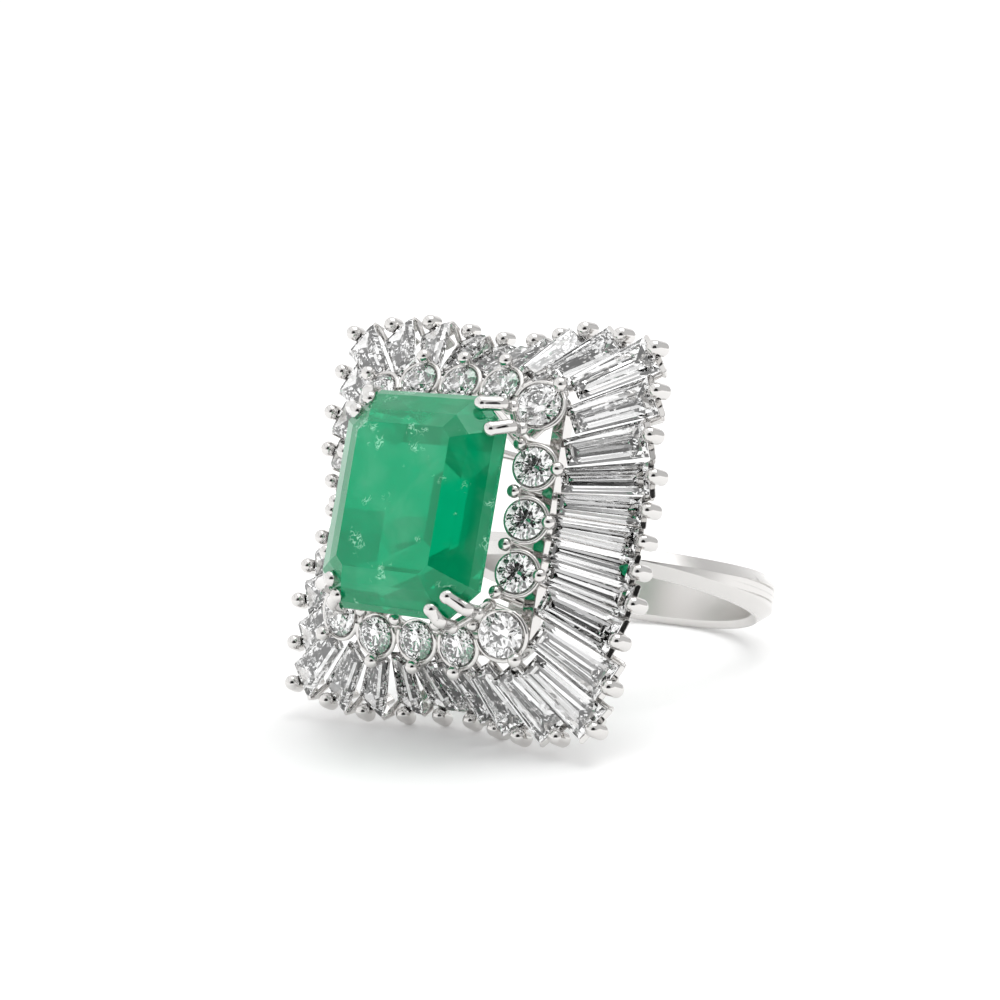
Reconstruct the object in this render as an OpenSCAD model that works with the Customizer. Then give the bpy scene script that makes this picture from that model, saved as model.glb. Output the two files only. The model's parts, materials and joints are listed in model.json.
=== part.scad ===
// Cocktail ring with a step cut emerald, a halo of round diamonds and a skirt of tapered baguettes.
// The ring lies on its side: the finger axis leans back from upright and the head faces the front.
// Head axes used below: x across the head, y along the finger axis, z outward from the finger axis.

/* [Shank] */
// Diameter of the finger hole
finger_d = 17.3; // [15.5:0.1:19.5]
// Radial thickness of the shank
shank_t = 1.25; // [1:0.05:1.8]
// Half of the width of the shank at the height of the finger axis
shank_half = 1.215; // [1.05:0.005:1.6]
// Growth of that half width towards the back, in degrees
shank_flare = 3.57; // [2:0.01:5]
// Lean of the shank away from the head's back, in degrees
shank_lean = 1.27; // [0:0.01:2]
// Rounding of the edges of the finger hole, measured along the finger axis
comfort = 0.45; // [0.1:0.01:0.55]
// Width taken off each side of the outer face by its bevel
shank_bevel = 0.7; // [0.3:0.05:0.8]
// Distance of the shank below the middle of the head
shank_off = 0.315; // [0:0.005:0.4]
// Depth of the two deep grooves along the outside of the shank's back
groove_deep = 0.4; // [0.2:0.02:0.5]
// Depth of the two fine grooves beside them
groove_fine = 0.13; // [0.05:0.01:0.2]

/* [Emerald] */
// Height of the emerald's girdle above the finger axis
head_h = 22.3; // [21.5:0.1:23.5]
// Width of the emerald across the head
emerald_w = 10.1; // [9.4:0.1:10.4]
// Length of the emerald along the finger axis
emerald_l = 12; // [11.2:0.1:12.4]
// Length cut off each corner of the emerald
emerald_cut = 1.75; // [1.2:0.05:2.2]
// Height of the emerald's crown
crown_h = 2.05; // [1.8:0.05:2.2]
// Depth of the emerald's pavilion
pavilion_h = 4.3; // [3.4:0.1:4.4]

/* [Halo] */
// Diameter of the round diamonds along the four sides
round_d = 2.1; // [1.8:0.05:2.2]
// Diameter of the round diamonds at the four corners
corner_round_d = 2.45; // [2:0.05:2.6]
// Distance that the round diamonds lie below the emerald's girdle
round_drop = 2.3; // [2:0.1:2.6]
// Lean of the round diamonds away from the emerald
round_lean = 20; // [10:1:25]

/* [Baguettes] */
// Height above the finger axis of the inner ends of the baguettes
inner_up = 18.5; // [18.2:0.1:18.7]
// Distance of those ends from the middle of the head at its left and right
inner_side = 6.5; // [6.4:0.05:6.8]
// Distance of those ends from the middle of the head at its top and bottom
inner_end = 8.05; // [7.9:0.05:8.3]
// Width of the inner end of the baguettes at the left and right as a share of their outer end
side_taper = 0.72; // [0.54:0.02:0.72]
// The same for the baguettes at the top and bottom
end_taper = 0.66; // [0.5:0.02:0.66]

/* [Wire] */
// Radius of the bead on each prong of a baguette
prong_r = 0.44; // [0.34:0.02:0.46]
// Radius of the bead on each round diamond
bead_r = 0.4; // [0.3:0.02:0.44]
// Width of the half round wire of the claws that hold the emerald
claw_w = 0.78; // [0.6:0.02:0.84]

/* [Hidden] */

finger_r = finger_d / 2;
shank_r = finger_r + shank_t;
round_up = head_h - round_drop;

// Columns of the tables of baguettes: the place of the outer end along its side, its distance out,
// its height above the finger axis and its width there
ALONG = 0;
OUT = 1;
UP = 2;
WIDE = 3;
side_rows = [
    [0, 9.85, 15.3, 1.46],
    [1.6, 10, 15.6, 1.56],
    [3.35, 10.35, 16, 1.84],
    [5.38, 10.15, 16.6, 2.1],
    [7.75, 10.05, 16.45, 2.25]
];
end_rows = [
    [0.94, 10.2, 14.8, 1.75],
    [2.84, 10.5, 15.3, 1.85],
    [4.9, 10.8, 16.1, 2.05],
    [7.3, 10.6, 16.3, 2.25]
];
corner_row = [9.65, 10, 16.55, 2.2];
corner_in = [6.35, 7.45];
// Share of a place along the side that the inner end keeps
side_fan = 0.74;
end_fan = 0.66;

// A baguette is [outer end, inner end, outer width, inner width].
// The 38 go clockwise from the top left corner.
function end_stone(k, s) = let (r = end_rows[abs(k) - 1], a = sign(k) * r[ALONG])
    [[a, s * r[OUT], r[UP]], [a * end_fan, s * inner_end, inner_up], r[WIDE], r[WIDE] * end_taper];
function side_stone(k, s) = let (r = side_rows[abs(k)], a = sign(k) * r[ALONG])
    [[s * r[OUT], a, r[UP]], [s * inner_side, a * side_fan, inner_up], r[WIDE], r[WIDE] * side_taper];
function corner_stone(sx, sy) = let (r = corner_row)
    [[sx * r[ALONG], sy * r[OUT], r[UP]], [sx * corner_in[0], sy * corner_in[1], inner_up],
     r[WIDE], r[WIDE] * end_taper];
stones = concat(
    [corner_stone(-1, 1)],
    [for (k = [-4:4]) if (k != 0) end_stone(k, 1)],
    [corner_stone(1, 1)],
    [for (k = [4:-1:-4]) side_stone(k, 1)],
    [corner_stone(1, -1)],
    [for (k = [4:-1:-4]) if (k != 0) end_stone(k, -1)],
    [corner_stone(-1, -1)],
    [for (k = [-4:4]) side_stone(k, -1)]
);

// Insets and heights of the facet edges, from the table down to the last step above the keel
baguette_steps = [[0.3, 0.3], [0.14, 0.2], [0, 0.05], [0, -0.05], [0.22, -0.45]];
baguette_keel_slope = 0.75;
emerald_steps = [
    [2.1, crown_h], [1.3, 0.73 * crown_h], [0.3, 0.3 * crown_h], [0.14, 0.17 * crown_h], [0, 0.12],
    [0, -0.12], [0.75, -0.28 * pavilion_h], [1.65, -0.57 * pavilion_h], [2.6, -0.81 * pavilion_h]
];
emerald_crown = 5;

// Places of the round diamonds as [x, y, diameter]
round_side = 5.6;
round_side_pitch = 2.85;
round_end = 7.1;
round_end_pitch = 2.7;
round_corner = [5.3, 6.2];
rounds = concat(
    [for (sx = [-1, 1]) for (k = [-1:1]) [sx * round_side, k * round_side_pitch, round_d]],
    [for (sy = [-1, 1]) for (k = [-1:1]) [k * round_end_pitch, sy * round_end, round_d]],
    [for (sx = [-1, 1]) for (sy = [-1, 1]) [sx * round_corner[0], sy * round_corner[1], corner_round_d]]
);

// The rail under the inner ends of the baguettes: half sizes of its middle line, width and heights
rail_x = 5.55;
rail_y = 6.95;
rail_w = 0.7;
rail_cut = 0.5;
rail_low = 17.2;
rail_high = 18.1;
// The bridge bar across the top of the shank that the legs and posts rise from
bridge_w = 1.6;
bridge_l = 9.8;
bridge_low = 9.15;
bridge_high = 10.1;
bridge_root = 9.7;
leg_foot = [0.5, 4.6];
post_foot = 4;
wire_r = 0.4;
leg_r = 0.28;
rib_r = 0.22;
prong_stem_r = 0.34;
prong_low = 1.45;
// Length of the prong's body behind its bead, and how much it leans outward
prong_tail = 0.65;
prong_out = 0.2;
rib_low = 0.8;
rib_in = 0.94;
wall_t = 0.32;
wall_low = 0.8;
wall_top = 0.12;
step_r = 0.17;
clear = 0.035;
// Place of a prong's bead beyond the end of its baguette and above its girdle
bead_x = 0.2;
bead_z = 0.55;
round_fn = 48;
bead_fn = 32;
inner_bead_r = 0.38;
inner_bead_x = 4.8;
inner_bead_y = 6.1;
inner_bead_z = 0.25;

function unit(a) = a / norm(a);

// Matrix that puts x along the line from a to b, y level across it and z outward
function along(a, b) = let (x = unit(b - a), y = unit(cross([0, 0, 1], x)), z = cross(x, y))
    [[x[0], y[0], z[0], a[0]], [x[1], y[1], z[1], a[1]], [x[2], y[2], z[2], a[2]], [0, 0, 0, 1]];

// Matrix that puts z along the line from a to b
function pointing(a, b) = let (z = unit(b - a), s = abs(z[2]) > 0.9 ? [1, 0, 0] : [0, 0, 1],
    x = unit(cross(s, z)), y = cross(z, x))
    [[x[0], y[0], z[0], a[0]], [x[1], y[1], z[1], a[1]], [x[2], y[2], z[2], a[2]], [0, 0, 0, 1]];

// Half of the width that one step inset by d leaves of a baguette at x
function half_at(x, hi, ho, len, d) = let (m = (ho - hi) / len) hi + m * x - d * sqrt(1 + m * m);

function baguette_ring(len, hi, ho, d, z) =
    let (a = half_at(d, hi, ho, len, d), b = half_at(len - d, hi, ho, len, d))
    [[d, -a, z], [len - d, -b, z], [len - d, b, z], [d, a, z]];

function octagon_ring(w, l, cut, d, z) = let (x = w / 2 - d, y = l / 2 - d, c = cut - (2 - sqrt(2)) * d)
    [[x, -y + c, z], [x, y - c, z], [x - c, y, z], [-x + c, y, z],
     [-x, y - c, z], [-x, -y + c, z], [-x + c, -y, z], [x - c, -y, z]];

// Faces of rings of n points that follow one another downward, without the top and bottom
function ring_faces(n, rings) = [for (i = [0:rings - 2]) for (j = [0:n - 1])
    [i * n + j, i * n + (j + 1) % n, (i + 1) * n + (j + 1) % n, (i + 1) * n + j]];

// The claws of the emerald: where each tip ends and where it bends down beside the stone.
// They come in pairs that share a root, listed by the corner of the emerald.
claw_pairs = [
    [[3.6, 5.45, 4.81, 5.67], [4.42, 4.09, 5.57, 4.56]],
    [[3.57, -4.68, 4.8, -5.35], [2.77, -5.37, 3.35, -6.22]],
    [[-3.1, -5.28, -4.03, -5.97], [-3.32, -4.56, -4.99, -4.95]],
    [[-3.72, 4.52, -5.1, 4.98], [-3.24, 5.2, -4.16, 5.99]]
];
claw_root = [4.3, 4.7, head_h - 2.3];
claw_slope = 34;
claw_gap = 0.06;
claw_bend_r = 0.5;
// Distance of the flat side of the wire from its middle line
claw_flat = 0.2;
// What the straight parts of a claw are thinner than its bend, and how far they run into it
claw_trim = 0.01;
claw_lap = 0.06;
// Distance that the straight leg of a claw reaches below the emerald's girdle
claw_leg = 0.6;
// Height of the crown above the girdle at a point of the head
function crown_at(p) = lookup(min(emerald_w / 2 - abs(p[0]), emerald_l / 2 - abs(p[1]),
    (emerald_w / 2 + emerald_l / 2 - emerald_cut - abs(p[0]) - abs(p[1])) / sqrt(2)),
    [for (i = [emerald_crown - 1:-1:0]) emerald_steps[i]]);
// The level direction from a claw's bend to its tip, and the distance between them
function claw_in(c) = unit([c[0] - c[2], c[1] - c[3]]);
function claw_run(c) = norm([c[2] - c[0], c[3] - c[1]]);
// Height of the flat side of the wire at the tip, so that it clears the crown over its width and length
function claw_tip(c) = let (in = claw_in(c), side = [-in[1], in[0]] * claw_w / 2)
    head_h + claw_gap + max([for (d = [0:0.1:claw_run(c)]) for (k = [-1:1])
        crown_at([c[0], c[1]] - in * d + side * k * (d < claw_w / 4 ? 0.7 : 1)) + d * tan(claw_slope)]);
function claw_bend(c) = [c[2], c[3],
    claw_tip(c) + claw_flat / cos(claw_slope) - tan(claw_slope) * claw_run(c)];

// The widest edge of the shank, and its distance below the middle of the head at the shank's back
edge_r = finger_r + 0.36 * shank_t;
back_half = shank_off + shank_half + (tan(shank_flare) + sin(shank_lean)) * edge_r;

// The body of a baguette's prong, from the middle of its bead towards the finger
function prong_body(c) = unit([0, 0, -1] + prong_out * unit([c[0][0] - c[1][0], c[0][1] - c[1][1], 0]))
    * prong_tail;
function bead_at(c) = seat_point(c, norm(c[0] - c[1]) + bead_x, 0, 1, bead_z);

// The lean at which the prong of stone c and the back of the shank both touch the floor
function prong_lean(c) = let (foot = bead_at(c) + prong_body(c),
    dy = -back_half - foot[1], dz = foot[2] + edge_r)
    atan2(dy, dz) + asin(prong_r / norm([dy, dz]));

lean = max([for (c = stones) if (c[0][1] < -inner_end) prong_lean(c)]);
rest_z = -back_half * cos(lean) - edge_r * sin(lean);
back_top = shank_half - shank_bevel - shank_off + (tan(shank_flare) - sin(shank_lean)) * shank_r;
back_y = shank_r * cos(lean) + back_top * sin(lean);
front_y = -max(to_front(emerald_steps[0][0] - emerald_l / 2, head_h + crown_h),
    max([for (pair = claw_pairs) for (c = pair) claw_front(c)]));

// How far a point of the head at y and z stands out to the front
function to_front(y, z) = z * cos(lean) - y * sin(lean);
// The same for a claw, measured at the middle of its rounded tip
function claw_front(c) = let (back = claw_w / 2 * cos(claw_slope))
    to_front(c[1] - claw_in(c)[1] * back, claw_tip(c) - back * tan(claw_slope)) + claw_w / 2;

// Carries a piece from the head axes to the way the ring lies
module laid() {
    translate([0, -(back_y + front_y) / 2, -rest_z]) rotate([90 - lean, 0, 0]) children();
}

module bar(a, b, r) {
    multmatrix(pointing(a, b)) cylinder(h = norm(b - a), r = r, $fn = bead_fn);
}

// A tapered step cut stone: its inner end is at x = 0, its girdle at z = 0 and its table faces +z
module baguette(len, wide_in, wide_out) {
    hi = wide_in / 2;
    ho = wide_out / 2;
    m = (ho - hi) / len;
    q = sqrt(1 + m * m);
    last = baguette_steps[len(baguette_steps) - 1];
    di = hi / (q - m);
    do_ = ho / (q + m);
    keel = [[di, 0, last[1] - baguette_keel_slope * (di - last[0])],
        [len - do_, 0, last[1] - baguette_keel_slope * (do_ - last[0])]];
    rings = [for (s = baguette_steps) each baguette_ring(len, hi, ho, s[0], s[1])];
    b = len(rings) - 4;
    k = len(rings);
    polyhedron(concat(rings, keel), concat([[3, 2, 1, 0]], ring_faces(4, len(baguette_steps)),
        [[b, b + 1, k + 1, k], [b + 1, b + 2, k + 1], [b + 2, b + 3, k, k + 1], [b + 3, b, k]]));
}

module baguette_diamond(i) {
    s = stones[i];
    color("gainsboro") laid() multmatrix(along(s[1], s[0]))
        baguette(norm(s[0] - s[1]), s[3], s[2]);
}

// A round brilliant with its table, stars, kites, girdle and pavilion facets
module brilliant(d) {
    r = d / 2;
    table_r = 0.56 * r;
    crown = 0.3 * r;
    depth = 0.86 * r;
    rim = 0.04 * r;
    star_r = 0.8 * r;
    low_r = 0.3 * r;
    half = 22.5;
    star_z = rim + crown * (1 - star_r * cos(half) / r) / (1 - table_r / r);
    low_z = -rim - depth * (1 - low_r * cos(half) / r);
    points = concat(
        [for (i = [0:7]) [table_r * cos(45 * i), table_r * sin(45 * i), rim + crown]],
        [for (i = [0:7]) [star_r * cos(45 * i + half), star_r * sin(45 * i + half), star_z]],
        [for (i = [0:15]) [r * cos(half * i), r * sin(half * i), rim]],
        [for (i = [0:15]) [r * cos(half * i), r * sin(half * i), -rim]],
        [for (i = [0:7]) [low_r * cos(45 * i + half), low_r * sin(45 * i + half), low_z]],
        [[0, 0, -rim - depth]]);
    faces = concat(
        [[for (i = [7:-1:0]) i]],
        [for (i = [0:7]) [i, (i + 1) % 8, 8 + i]],
        [for (i = [0:7]) [i, 8 + i, 16 + 2 * i, 8 + (i + 7) % 8]],
        [for (i = [0:7]) [8 + i, 16 + 2 * i + 1, 16 + 2 * i]],
        [for (i = [0:7]) [8 + i, 16 + (2 * i + 2) % 16, 16 + 2 * i + 1]],
        [for (i = [0:15]) [16 + i, 16 + (i + 1) % 16, 32 + (i + 1) % 16, 32 + i]],
        [for (i = [0:7]) [48 + i, 32 + 2 * i, 32 + 2 * i + 1]],
        [for (i = [0:7]) [48 + i, 32 + 2 * i + 1, 32 + (2 * i + 2) % 16]],
        [for (i = [0:7]) [56, 48 + (i + 7) % 8, 32 + 2 * i, 48 + i]]);
    polyhedron(points, faces);
}

// Puts a piece at a round diamond's place, with z along its axis
module at_round(p) {
    out = abs(p[0]) > abs(p[1]) - 1 && abs(p[1]) > 5 ? unit([p[0], p[1]])
        : abs(p[1]) > 6.5 ? [0, sign(p[1])] : [sign(p[0]), 0];
    z = [out[0] * sin(round_lean), out[1] * sin(round_lean), cos(round_lean)];
    y = [-out[1], out[0], 0];
    x = cross(y, z);
    multmatrix([[x[0], y[0], z[0], p[0]], [x[1], y[1], z[1], p[1]],
        [x[2], y[2], z[2], round_up], [0, 0, 0, 1]]) children();
}

module round_diamonds() {
    color("whitesmoke") laid() for (p = rounds) at_round(p) brilliant(p[2]);
}

module emerald() {
    rings = [for (s = emerald_steps) each octagon_ring(emerald_w, emerald_l, emerald_cut, s[0], s[1])];
    b = len(rings) - 8;
    k = len(rings);
    keel_y = (emerald_l - emerald_w) / 2 + 0.8;
    keel = [[0, -keel_y, -pavilion_h], [0, keel_y, -pavilion_h]];
    color("seagreen") laid() translate([0, 0, head_h])
        polyhedron(concat(rings, keel), concat([[7, 6, 5, 4, 3, 2, 1, 0]], ring_faces(8, len(emerald_steps)),
            [[b, b + 1, k + 1, k], [b + 1, b + 2, k + 1], [b + 2, b + 3, k + 1], [b + 3, b + 4, k + 1],
             [b + 4, b + 5, k, k + 1], [b + 5, b + 6, k], [b + 6, b + 7, k], [b + 7, b, k]]));
}

// A cone round the finger axis that leans with the flank of the shank: its radius is edge_r
// at the flank and changes by slope for every mm further up
module flank_cone(slope) {
    down = slope < 0 ? 6 : 0.95 * edge_r / slope;
    up = slope < 0 ? -0.95 * edge_r / slope : 3;
    rotate([shank_flare - 90, 0, 0]) translate([0, 0, shank_half - down])
        cylinder(h = down + up, r1 = edge_r - down * slope, r2 = edge_r + up * slope, $fn = 2 * round_fn);
}

// A groove at y round the outside that is deepest at the back and runs out past the sides
module groove(y, depth, slope) {
    reach = 1;
    start = 0.26;
    at_r = shank_r - start * depth;
    translate([0, y, depth]) rotate([90, 0, 0]) rotate_extrude($fn = 2 * round_fn)
        polygon([[at_r, 0], [at_r + reach, -slope * reach], [at_r + reach, slope * reach]]);
}

// The section of the shank has a bevel outside and a rounding inside that meet at its widest edge
module shank() {
    width = 8;
    bevel = -(shank_r - edge_r) / shank_bevel;
    rounding = (edge_r - finger_r) / comfort;
    translate([0, -shank_off, 0]) rotate([-shank_lean, 0, 0]) difference() {
        rotate([90, 0, 0]) cylinder(h = width, r = shank_r, center = true, $fn = 2 * round_fn);
        rotate([90, 0, 0]) cylinder(h = width + 1, r = finger_r, center = true, $fn = 2 * round_fn);
        for (m = [0, 1]) mirror([0, m, 0]) {
            flank_cone(rounding);
            difference() {
                translate([-shank_r - 1, 0, -shank_r - 1]) cube([2 * shank_r + 2, width, 2 * shank_r + 2]);
                flank_cone(bevel);
            }
        }
        groove(0.45, groove_deep, 0.36);
        groove(-0.3, groove_deep, 0.36);
        groove(0.08, groove_fine, 0.5);
        groove(0.78, groove_fine, 0.5);
    }
}

// The flat rail with cut corners under the inner ends of the baguettes
module rail() {
    function loop(a, b, c) = [[a, -b + c], [a, b - c], [a - c, b], [-a + c, b],
        [-a, b - c], [-a, -b + c], [-a + c, -b], [a - c, -b]];
    half = rail_w / 2;
    translate([0, 0, rail_low]) linear_extrude(rail_high - rail_low) difference() {
        polygon(loop(rail_x + half, rail_y + half, rail_cut + 0.6 * half));
        polygon(loop(rail_x - half, rail_y - half, rail_cut));
    }
}

// The half round section of a claw's wire, with its flat side towards the stone at -x
module claw_section(trim = 0) {
    translate([-claw_flat, 0]) intersection() {
        circle(r = claw_w / 2 - trim, $fn = bead_fn);
        translate([trim, -claw_w / 2]) square([claw_w, claw_w]);
    }
}

// A wire that lies on the crown, bends over the girdle and goes straight down beside the stone
module claw(c) {
    in = claw_in(c);
    b = claw_bend(c);
    near = claw_bend_r * tan((90 - claw_slope) / 2) - claw_lap;
    far = claw_run(c) / cos(claw_slope) - claw_w / 2;
    down = b[2] - head_h + claw_leg;
    multmatrix([[in[0], -in[1], 0, b[0]], [in[1], in[0], 0, b[1]], [0, 0, 1, b[2]], [0, 0, 0, 1]]) {
        rotate([0, 90 - claw_slope, 0]) {
            translate([0, 0, near]) linear_extrude(far - near) rotate(180) claw_section(claw_trim);
            translate([claw_flat, 0, far]) difference() {
                sphere(r = claw_w / 2 + 3 * claw_trim, $fn = bead_fn);
                translate([0, -claw_w, -claw_w]) cube(2 * claw_w);
            }
        }
        translate([claw_bend_r, 0, -near - claw_lap]) rotate([90, 0, 0]) rotate([0, 0, 90 + claw_slope])
            rotate_extrude(angle = 90 - claw_slope, $fn = round_fn)
                translate([claw_bend_r, 0]) claw_section();
        translate([0, 0, -down]) linear_extrude(down - near) rotate(180) claw_section(claw_trim);
    }
}

module claws() {
    for (pair = claw_pairs) {
        sx = sign(pair[0][0]);
        sy = sign(pair[0][1]);
        root = [sx * claw_root[0], sy * claw_root[1], claw_root[2]];
        for (c = pair) {
            claw(c);
            elbow = [c[2], c[3], head_h - claw_leg];
            translate(elbow) sphere(r = 1.3 * leg_r, $fn = bead_fn);
            bar(elbow, root, leg_r);
        }
        translate(root) sphere(r = 1.4 * leg_r, $fn = bead_fn);
        bar(root, [sx * leg_foot[0], sy * leg_foot[1], bridge_root], leg_r);
        spur = rail_low + 0.4;
        bar([sx * 3.6, sy * 5, spur], [sx * (rail_x - 0.1), sy * (rail_y - 0.1), spur], wire_r);
    }
}

// The open cup of a round diamond with its rim, its bead and the stem that joins it to the rail
module cup(p) {
    r = p[2] / 2;
    wall = 0.14;
    depth = 1.5;
    rim_r = 0.13;
    rim_turn = 230;
    at_round(p) {
        difference() {
            translate([0, 0, -depth]) cylinder(h = depth - 0.2, r1 = 0.6, r2 = r + wall, $fn = bead_fn);
            translate([0, 0, -r]) cylinder(h = 0.94 * r, r1 = 0.03, r2 = r + clear, $fn = bead_fn);
            translate([0, 0, -0.06 * r]) cylinder(h = 1, r = r + clear, $fn = bead_fn);
        }
        translate([0, 0, -0.14]) rotate([0, 0, -rim_turn / 2]) rotate_extrude(angle = rim_turn, $fn = bead_fn)
            translate([r + clear + rim_r, 0]) circle(r = rim_r, $fn = 16);
        translate([r + 0.3, 0, 0.36]) sphere(r = bead_r, $fn = bead_fn);
        translate([r + 0.3, 0, -0.7]) cylinder(h = 1, r = 0.26, $fn = bead_fn);
    }
}

// The x or y of the two ends of a cup's stem: from inside the rail's middle line at rail to just above it,
// or straight down where the cup lies along that side
function stem_high(x, rail, from) = sign(x) * (min(abs(x) + 0.2, rail) - (abs(x) > from ? 0.5 : 0));
function stem_low(x, rail, from) = sign(x) * (abs(x) > from ? rail - 0.1 : abs(x));

module cups() {
    for (p = rounds) {
        cup(p);
        bar([stem_high(p[0], rail_x, 5), stem_high(p[1], rail_y, 6), round_up - 1.3],
            [stem_low(p[0], rail_x, 5), stem_low(p[1], rail_y, 6), rail_low + 0.3], wire_r);
    }
}

// Small beads that neighbouring round diamonds share on the side of the emerald
module inner_beads() {
    top = round_up + inner_bead_z;
    for (s = [-1, 1]) for (k = [-1, 1]) {
        for (p = [[s * inner_bead_x, k * 1.43], [s * (inner_bead_x - 0.1), k * 4],
            [k * 1.35, s * inner_bead_y], [k * 3.65, s * (inner_bead_y - 0.25)]]) {
            translate([p[0], p[1], top]) sphere(r = inner_bead_r, $fn = bead_fn);
            bar([p[0], p[1], top], [p[0] * 1.06, p[1] * 1.06, rail_high - 0.2], 0.24);
        }
    }
}

// What holds one baguette: a notched prong with a round bead and body, and a wall round its outer end
module baguette_seat(s) {
    len = norm(s[0] - s[1]);
    seat = along(s[1], s[0]);
    body = prong_body(s) * [[seat[0][0], seat[0][1], seat[0][2]],
        [seat[1][0], seat[1][1], seat[1][2]], [seat[2][0], seat[2][1], seat[2][2]]];
    multmatrix(seat) {
        difference() {
            translate([len + bead_x, 0, 0]) {
                translate([0, 0, bead_z]) multmatrix(pointing([0, 0, 0], body)) {
                    sphere(r = prong_r, $fn = bead_fn);
                    cylinder(h = prong_tail, r = prong_r, $fn = bead_fn);
                    translate([0, 0, prong_tail]) sphere(r = prong_r, $fn = bead_fn);
                }
                translate([0, 0, -prong_low])
                    cylinder(h = prong_low + bead_z, r = prong_stem_r, $fn = bead_fn);
            }
            translate([len - 2 + clear, -1, baguette_steps[0][1] + 0.06 - 3]) cube([2, 2, 3]);
        }
        translate([len + clear, -s[2] / 2, -wall_low]) cube([wall_t, s[2], wall_low - wall_top]);
        for (k = [-1, 1]) translate([len + clear + wall_t / 2, k * s[2] / 2, -wall_low])
            cylinder(h = wall_low - wall_top, r = wall_t / 2, $fn = bead_fn);
    }
}

// A point of a baguette's seat: k = -1 is its clockwise side and 1 the other one
function seat_point(s, x, width, k, z) =
    let (p = along(s[1], s[0]) * [x, k * width / 2, z, 1]) [p[0], p[1], p[2]];

// The steps from wall to wall, and the ribs from the rail to them below the gaps between the stones
module steps_and_ribs() {
    wall_mid = -(wall_low + wall_top) / 2;
    x = clear + wall_t / 2;
    start = -0.3;
    for (i = [0:len(stones) - 1]) {
        s = stones[i];
        t = stones[(i + 1) % len(stones)];
        s_end = norm(s[0] - s[1]) + x;
        t_end = norm(t[0] - t[1]) + x;
        bar(seat_point(s, s_end, s[2], -1, wall_mid), seat_point(t, t_end, t[2], 1, wall_mid), step_r);
        inner = (seat_point(s, start, s[3], -1, -rib_in) + seat_point(t, start, t[3], 1, -rib_in)) / 2;
        a = seat_point(s, s_end, s[2], -1, -rib_low);
        b = seat_point(t, t_end, t[2], 1, -rib_low);
        low = a[2] < b[2] ? a : b;
        high = a[2] < b[2] ? b : a;
        across = unit(cross([0, 0, 1], s[0] - s[1] + t[0] - t[1]));
        outer = low + across * ((high - low) * across) / 2;
        bar(inner, outer, rib_r);
    }
}

module ring_mount() {
    color("silver") laid() {
        shank();
        translate([-bridge_w / 2, -bridge_l / 2, bridge_low])
            cube([bridge_w, bridge_l, bridge_high - bridge_low]);
        rail();
        claws();
        cups();
        inner_beads();
        for (s = stones) baguette_seat(s);
        steps_and_ribs();
        for (sy = [-1, 1])
            bar([0, sy * post_foot, bridge_root], [0, sy * rail_y, rail_low + 0.4], wire_r);
    }
}

ring_mount();
emerald();
round_diamonds();
for (i = [1:38]) baguette_diamond(i - 1);
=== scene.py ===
"""Looks, light and stage for the emerald and diamond ring.

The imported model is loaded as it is. The metal and the stones get their real materials, and a white table top,
a light tent, a softbox and the camera are set up round them.
"""

import json

import bpy
from math import cos, radians, sin
from mathutils import Euler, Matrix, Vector

bl_info = {
    "name": "Emerald and Diamond Ring",
    "version": (1, 0, 0),
    "blender": (4, 2, 0),
    "location": "3D View > Sidebar > Ring",
    "description": "Finishes the metal and the stones of a cocktail ring and sets its stage",
    "category": "Object",
}

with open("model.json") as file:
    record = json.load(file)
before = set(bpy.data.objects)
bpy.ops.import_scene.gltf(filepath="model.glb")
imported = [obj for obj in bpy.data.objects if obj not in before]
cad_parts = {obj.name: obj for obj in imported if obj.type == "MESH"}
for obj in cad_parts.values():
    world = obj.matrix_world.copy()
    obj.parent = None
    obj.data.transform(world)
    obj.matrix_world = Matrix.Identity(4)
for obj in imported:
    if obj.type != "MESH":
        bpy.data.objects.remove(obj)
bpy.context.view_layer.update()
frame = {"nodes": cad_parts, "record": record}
NODES = frame["nodes"]
FINGER_HOLE = next(mount for mount in frame["record"]["mounts"] if mount["name"] == "finger_hole")
MM = 0.001

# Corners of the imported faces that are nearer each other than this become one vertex
WELD = 2e-7

# A soft step takes a value from one number to another while what drives it crosses a span. Each step below
# gives the two ends of that span, and then the value at each end, for these inputs of the node that makes it.
STEP = ("From Min", "From Max", "To Min", "To Max")

# Waves that hand polishing leaves in the metal, about 1.4 mm long, and the height that they can have at most
WAVES_PER_MM = 0.7
WAVE_HEIGHT = 0.02 * MM
# Distances from the axis of the finger hole: just outside its wall, and where the wires of the head begin
HOLE_WALL = (9.0 * MM, 9.4 * MM)
HEAD_WIRES = (11.3 * MM, 12.3 * MM)

# Inclusions of the emerald: clouds 3 mm across, patches 1.3 mm apart and in them feathers 0.4 mm apart
CLOUDS_PER_MM = 0.33
PATCHES_PER_MM = 0.75
FEATHERS_PER_MM = 2.6
# How pale a cloud is by its noise, how bright a feather is by how far its noise is from the middle value,
# and how much of that shows by the noise of the patches
CLOUD_STEP = (0.42, 0.72, 0.0, 0.14)
FEATHER_STEP = (0.015, 0.05, 1.0, 0.0)
PATCH_STEP = (0.6, 0.68, 0.0, 0.85)
# How much of the clear light a feather stops
FEATHER_VEIL = 0.4

# The table top's glow is painted light, with no lamp below it, and is weaker near its middle as painted shade
# round the ring: between these distances from its middle the glow grows
PAINTED_GLOW_SPAN = (0.04, 0.3)
PAINTED_GLOW_GAIN = 2.2

# How high the opening for the lens stands in the tent's front wall, as seen from the ring
LENS_RISE = radians(11)
# The opening is 60 degrees wide and nearly black
OPENING_STEP = (cos(radians(32)), cos(radians(28)), 1.0, 0.02)
# The seams of the cloth are about 3 degrees wide and darker than the rest
SEAM_STEP = (0.93, 0.97, 1.0, 0.35)
# Below the table top the cloth gets less light
LOW_STEP = (-0.3, 0.0, 0.5, 1.0)
# The left wall is nearer its lamp than the right one
SIDE_STEP = (-0.6, 0.9, 1.12, 0.7)
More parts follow.
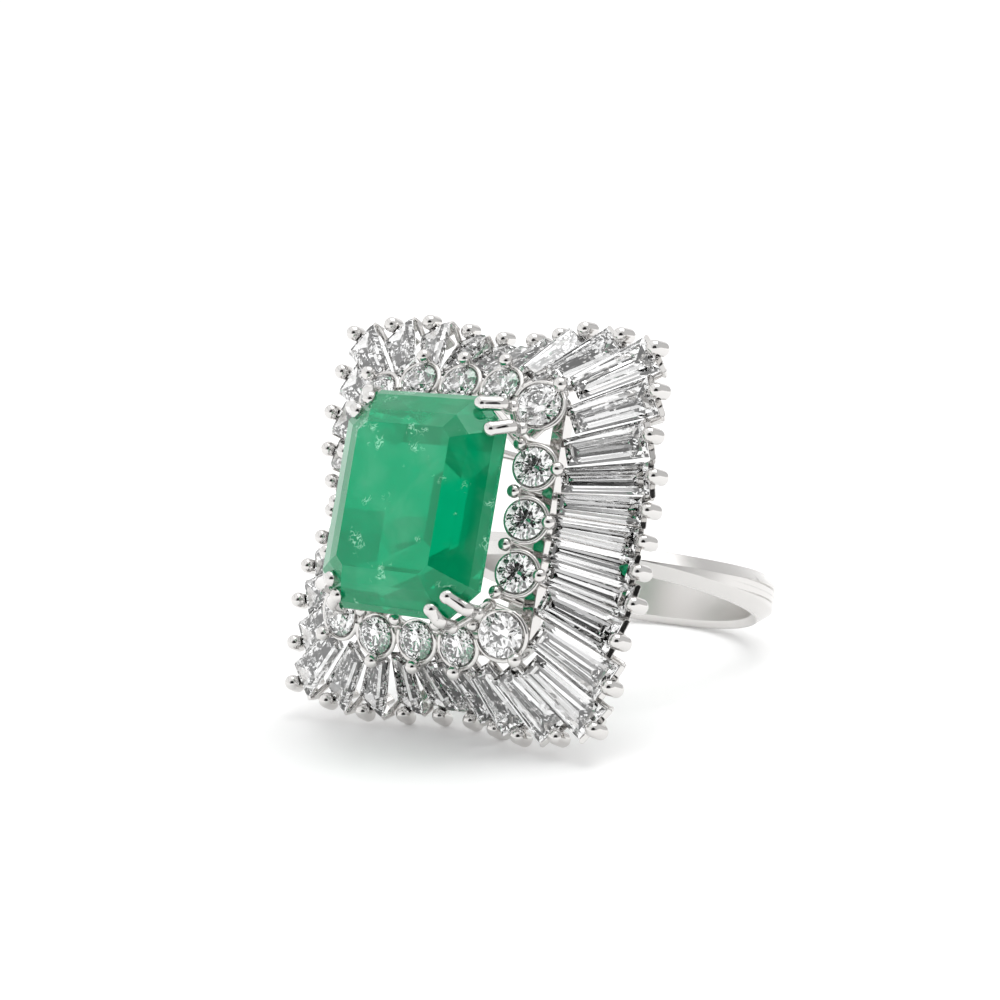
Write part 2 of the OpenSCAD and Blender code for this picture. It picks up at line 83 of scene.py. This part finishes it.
# Where the back wall begins, which is lit evenly, and how bright it is
BACK_STEP = (0.75, 0.9, 0.0, 1.0)
BACK_LIGHT = 1.05

# The softbox: where it hangs, the point that it faces, the length of its sides, and its power in watts
SOFTBOX_AT = (0.12, 0.14, 0.6)
SOFTBOX_AIM = (0, 0, 12 * MM)
SOFTBOX_SIDE = 0.5
SOFTBOX_POWER = 1.7

# The nearest and the farthest that the camera sees
SIGHT = (1 * MM, 20)


def linear(code):
    """A colour given as sRGB hex, as linear red, green and blue."""
    parts = [int(code[i : i + 2], 16) / 255 for i in (1, 3, 5)]
    return tuple(c / 12.92 if c <= 0.04045 else ((c + 0.055) / 1.055) ** 2.4 for c in parts)


def add(tree, kind, links=None, settings=None, **values):
    """Adds a node. values are its own properties, settings its sockets' values and links what feeds them."""
    node = tree.nodes.new(kind)
    for name, value in values.items():
        setattr(node, name, value)
    for name, value in (settings or {}).items():
        node.inputs[name].default_value = value
    for name, source in (links or {}).items():
        tree.links.new(source, node.inputs[name])
    return node


def new_material(name):
    """An empty material and its node tree."""
    material = bpy.data.materials.new(name)
    material.use_nodes = True
    material.node_tree.nodes.clear()
    return material, material.node_tree


def shading(name, crease=None):
    """A modifier tree that shades every facet flat or, with a crease, keeps only edges sharper than that."""
    tree = bpy.data.node_groups.new(name, "GeometryNodeTree")
    tree.interface.new_socket("Geometry", in_out="INPUT", socket_type="NodeSocketGeometry")
    tree.interface.new_socket("Geometry", in_out="OUTPUT", socket_type="NodeSocketGeometry")
    start = add(tree, "NodeGroupInput")
    mesh = add(tree, "GeometryNodeMergeByDistance", {"Geometry": start.outputs[0]}, {"Distance": WELD})
    if crease is not None:
        angle = add(tree, "GeometryNodeInputMeshEdgeAngle")
        sharp = add(tree, "FunctionNodeCompare", {"A": angle.outputs["Unsigned Angle"]}, {"B": crease})
        mesh = add(
            tree,
            "GeometryNodeSplitEdges",
            {"Mesh": mesh.outputs[0], "Selection": sharp.outputs[0]},
        )
    shaded = add(
        tree,
        "GeometryNodeSetShadeSmooth",
        {"Geometry": mesh.outputs[0]},
        {"Shade Smooth": crease is not None},
    )
    add(tree, "NodeGroupOutput", {"Geometry": shaded.outputs[0]})
    return tree


def finish(node_name, material, tree):
    """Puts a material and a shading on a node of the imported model; its vertices stay where they are."""
    piece = NODES[node_name]
    piece.data.materials.clear()
    piece.data.materials.append(material)
    piece.modifiers.new(tree.name, "NODES").node_group = tree


class RingMetalSettings(bpy.types.PropertyGroup):
    """What the metal looks like."""

    colour: bpy.props.FloatVectorProperty(
        name="Metal colour",
        description="Colour that the polished metal gives its reflections",
        subtype="COLOR",
        size=3,
        min=0,
        max=1,
        default=linear("#DDDBD9"),
    )
    crease: bpy.props.FloatProperty(
        name="Crease angle",
        description="Edges sharper than this stay crisp",
        subtype="ANGLE",
        default=radians(32),
    )
    edge: bpy.props.FloatProperty(
        name="Edge rounding",
        description="Radius that the polishing wheel left on the edges",
        subtype="DISTANCE",
        unit="LENGTH",
        default=0.085 * MM,
    )
    head_sheen: bpy.props.FloatProperty(
        name="Roughness of the head",
        description="How soft the reflections are in the wires, cups, beads and claws",
        subtype="FACTOR",
        min=0,
        max=1,
        default=0.08,
    )
    shank_sheen: bpy.props.FloatProperty(
        name="Roughness of the shank",
        description="How soft the reflections are on the outside of the shank",
        subtype="FACTOR",
        min=0,
        max=1,
        default=0.24,
    )
    inside_sheen: bpy.props.FloatProperty(
        name="Roughness of the finger hole",
        description="How soft the reflections are where the finger rubs the metal",
        subtype="FACTOR",
        min=0,
        max=1,
        default=0.3,
    )
    finger_axis: bpy.props.FloatVectorProperty(
        name="Finger hole",
        description="A point on the axis of the finger hole",
        subtype="TRANSLATION",
        unit="LENGTH",
        default=FINGER_HOLE["pos_m"],
    )
    finger_way: bpy.props.FloatVectorProperty(
        name="Finger direction",
        description="Direction of the axis of the finger hole",
        subtype="DIRECTION",
        default=FINGER_HOLE["axis"],
    )


class RingStoneSettings(bpy.types.PropertyGroup):
    """What the stones look like."""

    emerald: bpy.props.FloatVectorProperty(
        name="Emerald colour",
        description="Body colour of the emerald",
        subtype="COLOR",
        size=3,
        min=0,
        max=1,
        default=linear("#00B278"),
    )
    cloud: bpy.props.FloatProperty(
        name="Emerald cloud",
        description="How much of the light the inclusions scatter before it crosses the stone",
        subtype="FACTOR",
        min=0,
        max=1,
        default=0.45,
    )


class RingStageSettings(bpy.types.PropertyGroup):
    """The camera, the table top and the light tent."""

    camera_at: bpy.props.FloatVectorProperty(
        name="Camera place",
        description="Where the camera stands",
        subtype="TRANSLATION",
        unit="LENGTH",
        default=(69.086 * MM, -109.571 * MM, 37.571 * MM),
    )
    camera_turn: bpy.props.FloatVectorProperty(
        name="Camera turn",
        description="Which way the camera points",
        subtype="EULER",
        default=(radians(78.502), radians(2.079), radians(33.059)),
    )
    lens: bpy.props.FloatProperty(
        name="Focal length",
        description="Focal length of the lens in millimetres on a 36 mm wide sensor",
        unit="CAMERA",
        default=81.64,
    )
    floor: bpy.props.FloatProperty(
        name="Table top",
        description="Length of the sides of the white table top",
        subtype="DISTANCE",
        unit="LENGTH",
        default=6.0,
    )
    brightness: bpy.props.FloatProperty(
        name="Tent brightness",
        description="Brightness of the tent's white cloth",
        default=1.0,
        min=0,
    )
    # The table glow is painted light: emission on the table top's own surface, with no lamp below it
    glow: bpy.props.FloatProperty(
        name="Table glow",
        description="Light that the middle of the acrylic table top lets through from below",
        default=0.14,
        min=0,
    )


def polished_platinum(settings):
    """Platinum, polished by hand and worn by the finger."""
    # Polished platinum is a slightly warm grey mirror, and the worn shank has a softer sheen
    material, tree = new_material("polished_platinum")
    place = add(tree, "ShaderNodeTexCoord")
    waves = add(
        tree,
        "ShaderNodeTexNoise",
        {"Vector": place.outputs["Object"]},
        {"Scale": WAVES_PER_MM / MM, "Detail": 2.0},
    )
    edge = add(tree, "ShaderNodeBevel", None, {"Radius": settings.edge}, samples=6)
    bump = add(
        tree,
        "ShaderNodeBump",
        {"Height": waves.outputs["Fac"], "Normal": edge.outputs[0]},
        {"Strength": 0.12, "Distance": WAVE_HEIGHT},
    )
    # The distance from the finger's axis tells the inside of the hole, the shank and the head apart
    gap = add(
        tree,
        "ShaderNodeVectorMath",
        {0: place.outputs["Object"]},
        {1: settings.finger_axis},
        operation="SUBTRACT",
    )
    across = add(
        tree,
        "ShaderNodeVectorMath",
        {0: gap.outputs[0]},
        {1: settings.finger_way},
        operation="CROSS_PRODUCT",
    )
    away = add(tree, "ShaderNodeVectorMath", {0: across.outputs[0]}, operation="LENGTH")
    worn = add(
        tree,
        "ShaderNodeMapRange",
        {"Value": away.outputs["Value"]},
        dict(zip(STEP, (*HOLE_WALL, settings.inside_sheen, settings.shank_sheen))),
        interpolation_type="SMOOTHSTEP",
    )
    head = add(
        tree,
        "ShaderNodeMapRange",
        {"Value": away.outputs["Value"]},
        dict(zip(STEP, (*HEAD_WIRES, 0.0, 1.0))),
        interpolation_type="SMOOTHSTEP",
    )
    sheen = add(
        tree,
        "ShaderNodeMix",
        {"Factor": head.outputs[0], "A": worn.outputs[0]},
        {"B": settings.head_sheen},
    )
    shader = add(
        tree,
        "ShaderNodeBsdfPrincipled",
        {"Normal": bump.outputs[0], "Roughness": sheen.outputs[0]},
        {"Base Color": (*settings.colour, 1), "Metallic": 1.0},
    )
    add(tree, "ShaderNodeOutputMaterial", {"Surface": shader.outputs[0]})
    return material


def clear_diamond(name):
    """Colourless diamond, cut and polished."""
    # Its flat facets bend light strongly and reflect a sixth of it
    material, tree = new_material(name)
    shader = add(
        tree,
        "ShaderNodeBsdfPrincipled",
        None,
        {
            "Base Color": (*linear("#FDFDFD"), 1),
            "Roughness": 0.0,
            "IOR": 2.417,
            "Transmission Weight": 1.0,
        },
    )
    add(tree, "ShaderNodeOutputMaterial", {"Surface": shader.outputs[0]})
    return material


def cloudy_emerald(settings):
    """Emerald, which is beryl coloured by chromium, step cut and polished."""
    # It is glassy green, and its inclusions make it milky and run through it as fine bright feathers
    material, tree = new_material("cloudy_emerald")
    place = add(tree, "ShaderNodeTexCoord")
    cloud = add(
        tree,
        "ShaderNodeTexNoise",
        {"Vector": place.outputs["Object"]},
        {"Scale": CLOUDS_PER_MM / MM, "Detail": 3.0, "Distortion": 0.6},
    )
    pale = add(
        tree,
        "ShaderNodeMapRange",
        {"Value": cloud.outputs["Fac"]},
        dict(zip(STEP, CLOUD_STEP)),
        interpolation_type="SMOOTHSTEP",
    )
    patch = add(
        tree,
        "ShaderNodeTexNoise",
        {"Vector": place.outputs["Object"]},
        {"Scale": PATCHES_PER_MM / MM, "Detail": 2.0},
    )
    inside = add(
        tree,
        "ShaderNodeMapRange",
        {"Value": patch.outputs["Fac"]},
        dict(zip(STEP, PATCH_STEP)),
        interpolation_type="SMOOTHSTEP",
    )
    # A feather runs where this noise crosses its middle value
    weave = add(
        tree,
        "ShaderNodeTexNoise",
        {"Vector": place.outputs["Object"]},
        {"Scale": FEATHERS_PER_MM / MM, "Detail": 3.0, "Distortion": 1.2},
    )
    middle = add(tree, "ShaderNodeMath", {0: weave.outputs["Fac"]}, {1: 0.5}, operation="SUBTRACT")
    off = add(tree, "ShaderNodeMath", {0: middle.outputs[0]}, operation="ABSOLUTE")
    line = add(
        tree,
        "ShaderNodeMapRange",
        {"Value": off.outputs[0]},
        dict(zip(STEP, FEATHER_STEP)),
        interpolation_type="SMOOTHSTEP",
    )
    feathers = add(
        tree,
        "ShaderNodeMath",
        {0: line.outputs[0], 1: inside.outputs[0]},
        operation="MULTIPLY",
    )
    milk = add(
        tree,
        "ShaderNodeMath",
        {0: pale.outputs[0], 1: feathers.outputs[0]},
        operation="MAXIMUM",
    )
    # The mix node's colour sockets share their names with its number sockets and go by index
    colour = add(
        tree,
        "ShaderNodeMix",
        {"Factor": milk.outputs[0]},
        {6: (*settings.emerald, 1), 7: (*linear("#B4F0D2"), 1)},
        data_type="RGBA",
    )
    veil = add(tree, "ShaderNodeMath", {0: feathers.outputs[0]}, {1: FEATHER_VEIL}, operation="MULTIPLY")
    clear = add(
        tree,
        "ShaderNodeMath",
        {1: veil.outputs[0]},
        {0: 1.0 - settings.cloud},
        operation="SUBTRACT",
    )
    # Light that the clouds send back from just below the polish makes its gloss slightly green
    shader = add(
        tree,
        "ShaderNodeBsdfPrincipled",
        {"Base Color": colour.outputs[2], "Transmission Weight": clear.outputs[0]},
        {"Roughness": 0.02, "IOR": 1.58, "Specular Tint": (*linear("#C4FFE8"), 1)},
    )
    add(tree, "ShaderNodeOutputMaterial", {"Surface": shader.outputs[0]})
    return material


def matt_white_acrylic(settings):
    """White acrylic sheet, sanded matt, with a painted glow on its surface."""
    # It spreads the light evenly and shows only soft shadows; its glow is painted light, weaker near the ring
    # as painted shade
    material, tree = new_material("matt_white_acrylic")
    place = add(tree, "ShaderNodeTexCoord")
    away = add(tree, "ShaderNodeVectorMath", {0: place.outputs["Object"]}, operation="LENGTH")
    # Painted glow: weaker near the middle, which paints shade round the ring, and stronger farther off, which
    # paints light
    glow = add(
        tree,
        "ShaderNodeMapRange",
        {"Value": away.outputs["Value"]},
        dict(zip(STEP, (*PAINTED_GLOW_SPAN, settings.glow, PAINTED_GLOW_GAIN * settings.glow))),
        interpolation_type="SMOOTHSTEP",
    )
    shader = add(
        tree,
        "ShaderNodeBsdfPrincipled",
        {"Emission Strength": glow.outputs[0]},
        {
            "Base Color": (*linear("#F7F7F7"), 1),
            "Roughness": 0.9,
            "IOR": 1.49,
            "Emission Color": (*linear("#FFFFFF"), 1),
        },
    )
    add(tree, "ShaderNodeOutputMaterial", {"Surface": shader.outputs[0]})
    return material


class RING_OT_finish_mount(bpy.types.Operator):
    """Polish the platinum mount"""

    bl_idname = "ring.finish_mount"
    bl_label = "Polish the mount"

    def execute(self, context):
        settings = context.scene.ring_metal
        finish("ring_mount", polished_platinum(settings), shading("polished_surface", settings.crease))
        return {"FINISHED"}


class RING_OT_finish_emerald(bpy.types.Operator):
    """Give the emerald its colour, polish and inclusions"""

    bl_idname = "ring.finish_emerald"
    bl_label = "Finish the emerald"

    def execute(self, context):
        finish("emerald", cloudy_emerald(context.scene.ring_stones), shading("cut_facets"))
        return {"FINISHED"}


class RING_OT_finish_rounds(bpy.types.Operator):
    """Finish the round diamonds of the halo"""

    bl_idname = "ring.finish_rounds"
    bl_label = "Finish the round diamonds"

    def execute(self, context):
        finish("round_diamonds", clear_diamond("round_diamond"), shading("cut_facets"))
        return {"FINISHED"}


class RING_OT_finish_baguettes(bpy.types.Operator):
    """Finish the tapered baguette diamonds of the skirt"""

    bl_idname = "ring.finish_baguettes"
    bl_label = "Finish the baguettes"

    def execute(self, context):
        material = clear_diamond("baguette_diamond")
        facets = shading("cut_facets")
        for name in NODES:
            if name.startswith("baguette_"):
                finish(name, material, facets)
        return {"FINISHED"}


def table_top(settings):
    """The flat table top, square to the camera's view."""
    half = settings.floor / 2
    corners = [(-half, -half, 0), (half, -half, 0), (half, half, 0), (-half, half, 0)]
    mesh = bpy.data.meshes.new("table_top")
    mesh.from_pydata(corners, [], [(0, 1, 2, 3)])
    mesh.materials.append(matt_white_acrylic(settings))
    floor = bpy.data.objects.new("table_top", mesh)
    bpy.context.scene.collection.objects.link(floor)
    floor.rotation_euler.z = settings.camera_turn[2]
    return floor


def light_tent(settings):
    """A cube of white cloth with darker seams, and a round opening for the lens in its front wall."""
    world = bpy.data.worlds.new("light_tent")
    bpy.context.scene.world = world
    world.use_nodes = True
    tree = world.node_tree
    tree.nodes.clear()
    # The tent stands square to the camera: x is to its right, y away from it and z up
    place = add(tree, "ShaderNodeTexCoord")
    turned = add(
        tree,
        "ShaderNodeVectorRotate",
        {"Vector": place.outputs["Generated"]},
        {"Angle": -settings.camera_turn[2]},
        rotation_type="Z_AXIS",
    )
    axes = add(tree, "ShaderNodeSeparateXYZ", {"Vector": turned.outputs[0]})
    x, y, z = (
        add(tree, "ShaderNodeMath", {0: axis}, operation="ABSOLUTE").outputs[0]
        for axis in axes.outputs
    )
    found = []
    for operation in ("MAXIMUM", "MINIMUM", "ADD"):
        pair = add(tree, "ShaderNodeMath", {0: x, 1: y}, operation=operation)
        found.append(add(tree, "ShaderNodeMath", {0: pair.outputs[0], 1: z}, operation=operation))
    largest, smallest, total = found
    # A seam runs where the middle one of the three is nearly as large as the largest
    others = add(
        tree,
        "ShaderNodeMath",
        {0: total.outputs[0], 1: largest.outputs[0]},
        operation="SUBTRACT",
    )
    middle = add(
        tree,
        "ShaderNodeMath",
        {0: others.outputs[0], 1: smallest.outputs[0]},
        operation="SUBTRACT",
    )
    ratio = add(
        tree,
        "ShaderNodeMath",
        {0: middle.outputs[0], 1: largest.outputs[0]},
        operation="DIVIDE",
    )
    towards = add(
        tree,
        "ShaderNodeVectorMath",
        {0: turned.outputs[0]},
        {1: (0, -cos(LENS_RISE), sin(LENS_RISE))},
        operation="DOT_PRODUCT",
    )
    seam, opening, low, side, behind = (
        add(
            tree,
            "ShaderNodeMapRange",
            {"Value": value},
            dict(zip(STEP, span)),
            interpolation_type="SMOOTHSTEP",
        ).outputs[0]
        for value, span in (
            (ratio.outputs[0], SEAM_STEP),
            (towards.outputs["Value"], OPENING_STEP),
            (axes.outputs[2], LOW_STEP),
            (axes.outputs[0], SIDE_STEP),
            (axes.outputs[1], BACK_STEP),
        )
    )
    walls = add(tree, "ShaderNodeMix", {"Factor": behind, "A": side}, {"B": BACK_LIGHT})
    light = seam
    for part in (opening, low, walls.outputs[0]):
        light = add(tree, "ShaderNodeMath", {0: light, 1: part}, operation="MULTIPLY").outputs[0]
    strength = add(tree, "ShaderNodeMath", {0: light}, {1: settings.brightness}, operation="MULTIPLY")
    cloth = add(
        tree,
        "ShaderNodeBackground",
        {"Strength": strength.outputs[0]},
        {"Color": (*linear("#FFFFFF"), 1)},
    )
    add(tree, "ShaderNodeOutputWorld", {"Surface": cloth.outputs[0]})


def top_softbox():
    """A square softbox above the table top."""
    light = bpy.data.lights.new("top_softbox", "AREA")
    light.shape = "RECTANGLE"
    light.size = SOFTBOX_SIDE
    light.size_y = SOFTBOX_SIDE
    light.energy = SOFTBOX_POWER
    holder = bpy.data.objects.new("top_softbox", light)
    bpy.context.scene.collection.objects.link(holder)
    holder.location = SOFTBOX_AT
    holder.rotation_mode = "QUATERNION"
    holder.rotation_quaternion = (Vector(SOFTBOX_AIM) - Vector(SOFTBOX_AT)).to_track_quat("-Z", "Y")


def stage_camera(settings):
    """The camera, where it stood for the photograph."""
    lens = bpy.data.cameras.new("camera")
    lens.sensor_width = 36
    lens.lens = settings.lens
    lens.clip_start, lens.clip_end = SIGHT
    camera = bpy.data.objects.new("camera", lens)
    bpy.context.scene.collection.objects.link(camera)
    camera.location = settings.camera_at
    camera.rotation_euler = Euler(settings.camera_turn)
    bpy.context.scene.camera = camera


class RING_OT_stage(bpy.types.Operator):
    """Set up the white table top, the light tent, the softbox and the camera"""

    bl_idname = "ring.stage"
    bl_label = "Set the stage"

    def execute(self, context):
        scene = context.scene
        settings = scene.ring_stage
        floor = table_top(settings)
        light_tent(settings)
        top_softbox()
        stage_camera(settings)
        scene.view_settings.view_transform = "Standard"
        # Light crosses many facets before it leaves a diamond
        scene.cycles.max_bounces = 24
        scene.cycles.transmission_bounces = 20
        scene.cycles.glossy_bounces = 8
        scene.cycles.caustics_reflective = True
        scene.cycles.caustics_refractive = True
        return {"FINISHED"}


class RING_PT_panel(bpy.types.Panel):
    """The ring's steps and settings in the sidebar"""

    bl_idname = "RING_PT_panel"
    bl_label = "Emerald and Diamond Ring"
    bl_space_type = "VIEW_3D"
    bl_region_type = "UI"
    bl_category = "Ring"

    def draw(self, context):
        layout = self.layout
        for group in (context.scene.ring_metal, context.scene.ring_stones, context.scene.ring_stage):
            for name in group.bl_rna.properties.keys():
                if name not in ("rna_type", "name"):
                    layout.prop(group, name)
        for operator in OPERATORS:
            layout.operator(operator.bl_idname)


OPERATORS = (
    RING_OT_finish_mount,
    RING_OT_finish_emerald,
    RING_OT_finish_rounds,
    RING_OT_finish_baguettes,
    RING_OT_stage,
)
SETTINGS = {
    "ring_metal": RingMetalSettings,
    "ring_stones": RingStoneSettings,
    "ring_stage": RingStageSettings,
}


def register():
    for group in SETTINGS.values():
        bpy.utils.register_class(group)
    for operator in OPERATORS:
        bpy.utils.register_class(operator)
    bpy.utils.register_class(RING_PT_panel)
    for name, group in SETTINGS.items():
        setattr(bpy.types.Scene, name, bpy.props.PointerProperty(type=group))


def unregister():
    for name in SETTINGS:
        delattr(bpy.types.Scene, name)
    for item in (RING_PT_panel, *reversed(OPERATORS), *SETTINGS.values()):
        bpy.utils.unregister_class(item)


def main():
    register()
    bpy.ops.ring.finish_mount()
    bpy.ops.ring.finish_emerald()
    bpy.ops.ring.finish_rounds()
    bpy.ops.ring.finish_baguettes()
    bpy.ops.ring.stage()


if __name__ == "__main__":
    main()
